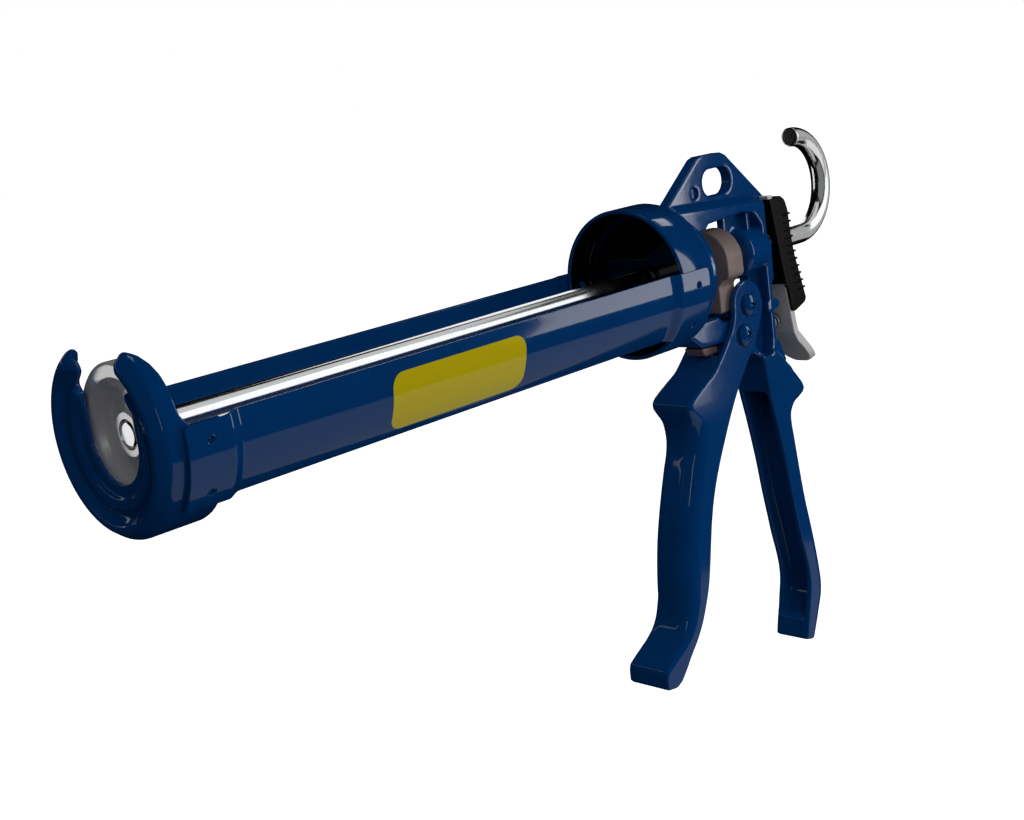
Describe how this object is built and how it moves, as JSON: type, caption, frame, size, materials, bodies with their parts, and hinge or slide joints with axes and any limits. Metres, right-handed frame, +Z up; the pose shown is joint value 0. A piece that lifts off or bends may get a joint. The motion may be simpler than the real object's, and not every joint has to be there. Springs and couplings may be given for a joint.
{
  "type": "caulking gun",
  "caption": "Manual caulking gun for 50 mm cartridges: half-open barrel, hooked push rod, cast body with handle, trigger and thumb release.",
  "frame": {"origin": "centre of the push rod's flat front end, with the rod fully forward", "axes": "+X along the rod from nozzle to hook, +Z up away from the handle, +Y to the gun's right side"},
  "size_m": [0.3575, 0.059, 0.215],
  "materials": {
    "paint": "gloss navy enamel",
    "chrome": "polished",
    "steel": "zinc plated",
    "sintered": "sintered, satin",
    "lever_plate": "satin, stamped",
    "pad": "ribbed black",
    "dark_screw": "black"
  },
  "bodies": {
    "body": {"front_cap": "paint", "rail_left": "paint", "rail_right": "paint", "rivet_front_left_upper": "paint", "rivet_front_left_lower": "paint", "rivet_front_right_upper": "paint", "rivet_front_right_lower": "paint", "rivet_rear_left_upper": "paint", "rivet_rear_left_lower": "paint", "rivet_rear_right_upper": "paint", "rivet_rear_right_lower": "paint", "rear_cup": "paint", "cup_screw_upper": "dark_screw", "cup_screw_lower": "dark_screw", "frame_casting": "paint", "pivot_bush": "steel", "rest_block": "sintered", "dog_spring": "steel", "lever_spring": "steel"},
    "rod": {"push_rod": "chrome", "rod_hook": "chrome", "plunger_plate": "chrome", "plunger_nut": "chrome", "plunger_rear_nut": "steel"},
    "dog": {"drive_dog": "sintered"},
    "trigger": {"trigger": "paint", "pivot_screw": "paint", "thrust_screw": "paint", "thrust_roller": "steel"},
    "lever": {"release_lever": "lever_plate", "thumb_pad": "pad"}
  },
  "joints": [
    {"name": "rod_slide", "type": "slide", "parent": "body", "child": "rod", "axis": [1, 0, 0], "range_m": [0, 0.205]},
    {"name": "trigger_pull", "type": "hinge", "parent": "body", "child": "trigger", "pos_m": [0.2665, 0, -0.0306], "axis": [0, -1, 0], "range_deg": [0, 34], "stiffness_Nm_per_rad": 1.2, "springref_deg": -20.05},
    {"name": "dog_shift", "type": "slide", "parent": "body", "child": "dog", "axis": [-1, 0, 0], "range_m": [0, 0.0078], "deforming": ["dog_spring"]},
    {"name": "lever_release", "type": "hinge", "parent": "body", "child": "lever", "pos_m": [0.296, 0, 0.0185], "axis": [0, 1, 0], "range_deg": [0, 4], "stiffness_Nm_per_rad": 2.5, "springref_deg": -6.88, "deforming": ["lever_spring"]}
  ],
  "couplings": [
    {"joint": "dog_shift", "follows": "trigger_pull", "m_per_rad": 0.0119}
  ]
}
